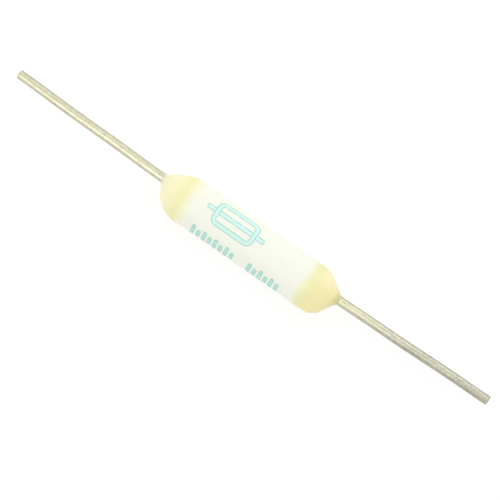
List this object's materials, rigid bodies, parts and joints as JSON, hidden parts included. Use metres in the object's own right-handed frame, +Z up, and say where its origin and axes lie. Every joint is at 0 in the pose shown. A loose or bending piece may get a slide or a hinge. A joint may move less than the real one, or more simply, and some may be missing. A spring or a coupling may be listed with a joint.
{
  "type": "thermal fuse",
  "caption": "Axial thermal fuse: a fusible alloy link in flux inside a white ceramic tube, sealed at both ends with resin beads around tinned wire leads.",
  "frame": {"origin": "middle of the ceramic tube, on its axis", "axes": "+X along the tube towards the right-hand lead, +Y towards the side on which the leads sit off centre, +Z up"},
  "size_m": [0.0352, 0.003, 0.003],
  "materials": {
    "ceramic": "fired white ceramic with a fine satin surface",
    "tinned_wire": "tinned copper wire, satin, with faint drawing lines",
    "fusible_alloy": "low-melting alloy, dull grey",
    "flux": "set rosin flux, glassy amber",
    "resin": "cured translucent cream resin, soft gloss",
    "ink": "thin printed teal ink, matt"
  },
  "bodies": {
    "root": {"ceramic_tube": "ceramic", "lead_wire_left": "tinned_wire", "lead_wire_right": "tinned_wire", "fusible_link": "fusible_alloy", "flux_coating": "flux", "end_seal_left": "resin", "end_seal_right": "resin"}
  },
  "joints": []
}
